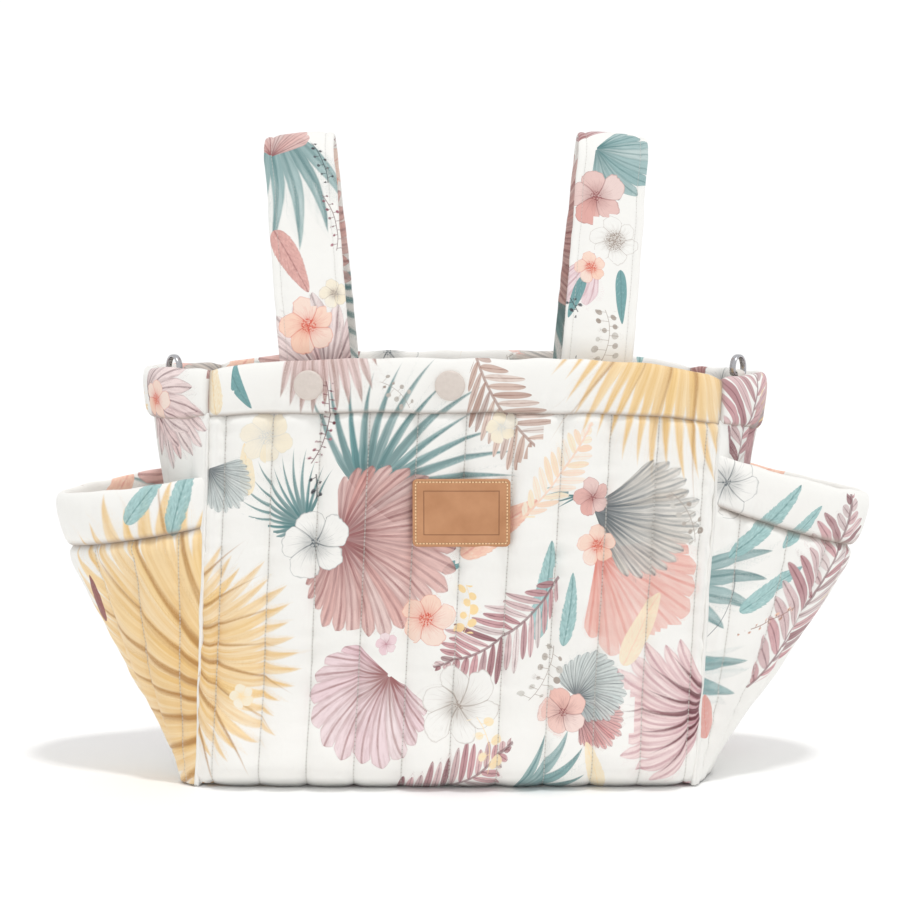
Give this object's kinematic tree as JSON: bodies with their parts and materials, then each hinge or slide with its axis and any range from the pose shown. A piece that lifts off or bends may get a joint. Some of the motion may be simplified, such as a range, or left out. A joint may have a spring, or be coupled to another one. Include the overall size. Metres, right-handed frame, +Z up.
{
  "type": "diaper bag",
  "caption": "Quilted open-topped diaper bag with a padded mouth band, flared elasticated side pockets, upright loop handles, press studs, a leather label and D-rings.",
  "frame": {"origin": "on the ground under the middle of the bag, which stands on its base", "axes": "+X to the right as the front is seen, front faces -Y, +Z up"},
  "size_m": [0.539, 0.1708, 0.4274],
  "materials": {
    "printed_cotton": "matt quilted cotton with a watercolour leaf and flower print",
    "lining_cotton": "plain matt cotton",
    "wadding": "soft polyester wadding",
    "elastic": "flat woven elastic",
    "board": "stiff sheet",
    "leather_label": "matt vegetable-tanned leather with a blind-stamped border",
    "press_stud": "matt resin",
    "ring_metal": "polished nickel"
  },
  "bodies": {
    "bag": {"back_band": "printed_cotton", "back_band_wadding": "wadding", "back_lining": "lining_cotton", "back_panel": "printed_cotton", "back_stud_caps": "press_stud", "back_stud_nubs": "press_stud", "back_wadding": "wadding", "base_board": "board", "base_lining": "lining_cotton", "base_panel": "printed_cotton", "front_band": "printed_cotton", "front_band_wadding": "wadding", "front_lining": "lining_cotton", "front_panel": "printed_cotton", "front_stud_caps": "press_stud", "front_stud_sockets": "press_stud", "front_wadding": "wadding", "label": "leather_label", "left_band": "printed_cotton", "left_band_wadding": "wadding", "left_gusset": "printed_cotton", "left_handle_anchors": "lining_cotton", "left_lining": "lining_cotton", "left_pocket": "printed_cotton", "left_pocket_elastic": "elastic", "left_pocket_hem": "printed_cotton", "left_pocket_lining": "lining_cotton", "left_pocket_wadding": "wadding", "left_ring_tab": "lining_cotton", "left_wadding": "wadding", "right_band": "printed_cotton", "right_band_wadding": "wadding", "right_gusset": "printed_cotton", "right_handle_anchors": "lining_cotton", "right_lining": "lining_cotton", "right_pocket": "printed_cotton", "right_pocket_elastic": "elastic", "right_pocket_hem": "printed_cotton", "right_pocket_lining": "lining_cotton", "right_pocket_wadding": "wadding", "right_ring_tab": "lining_cotton", "right_wadding": "wadding", "slip_pocket": "lining_cotton"},
    "left_handle": {"left_handle_outer": "printed_cotton", "left_handle_padding": "wadding", "left_handle_inner": "printed_cotton"},
    "right_handle": {"right_handle_outer": "printed_cotton", "right_handle_padding": "wadding", "right_handle_inner": "printed_cotton"},
    "left_ring": {"left_ring": "ring_metal"},
    "right_ring": {"right_ring": "ring_metal"}
  },
  "joints": [
    {"name": "left_handle_tip", "type": "hinge", "parent": "bag", "child": "left_handle", "pos_m": [-0.091, 0, 0.278], "axis": [0, -1, 0], "range_deg": [-29, 60]},
    {"name": "right_handle_tip", "type": "hinge", "parent": "bag", "child": "right_handle", "pos_m": [0.091, 0, 0.278], "axis": [0, 1, 0], "range_deg": [-29, 60]},
    {"name": "left_ring_swing", "type": "hinge", "parent": "bag", "child": "left_ring", "pos_m": [-0.18568, -0.0277, 0.266], "axis": [-0.5476, 0.8367, 0], "range_deg": [-15, 165]},
    {"name": "right_ring_swing", "type": "hinge", "parent": "bag", "child": "right_ring", "pos_m": [0.18568, -0.0277, 0.266], "axis": [-0.5476, -0.8367, 0], "range_deg": [-15, 165]}
  ]
}
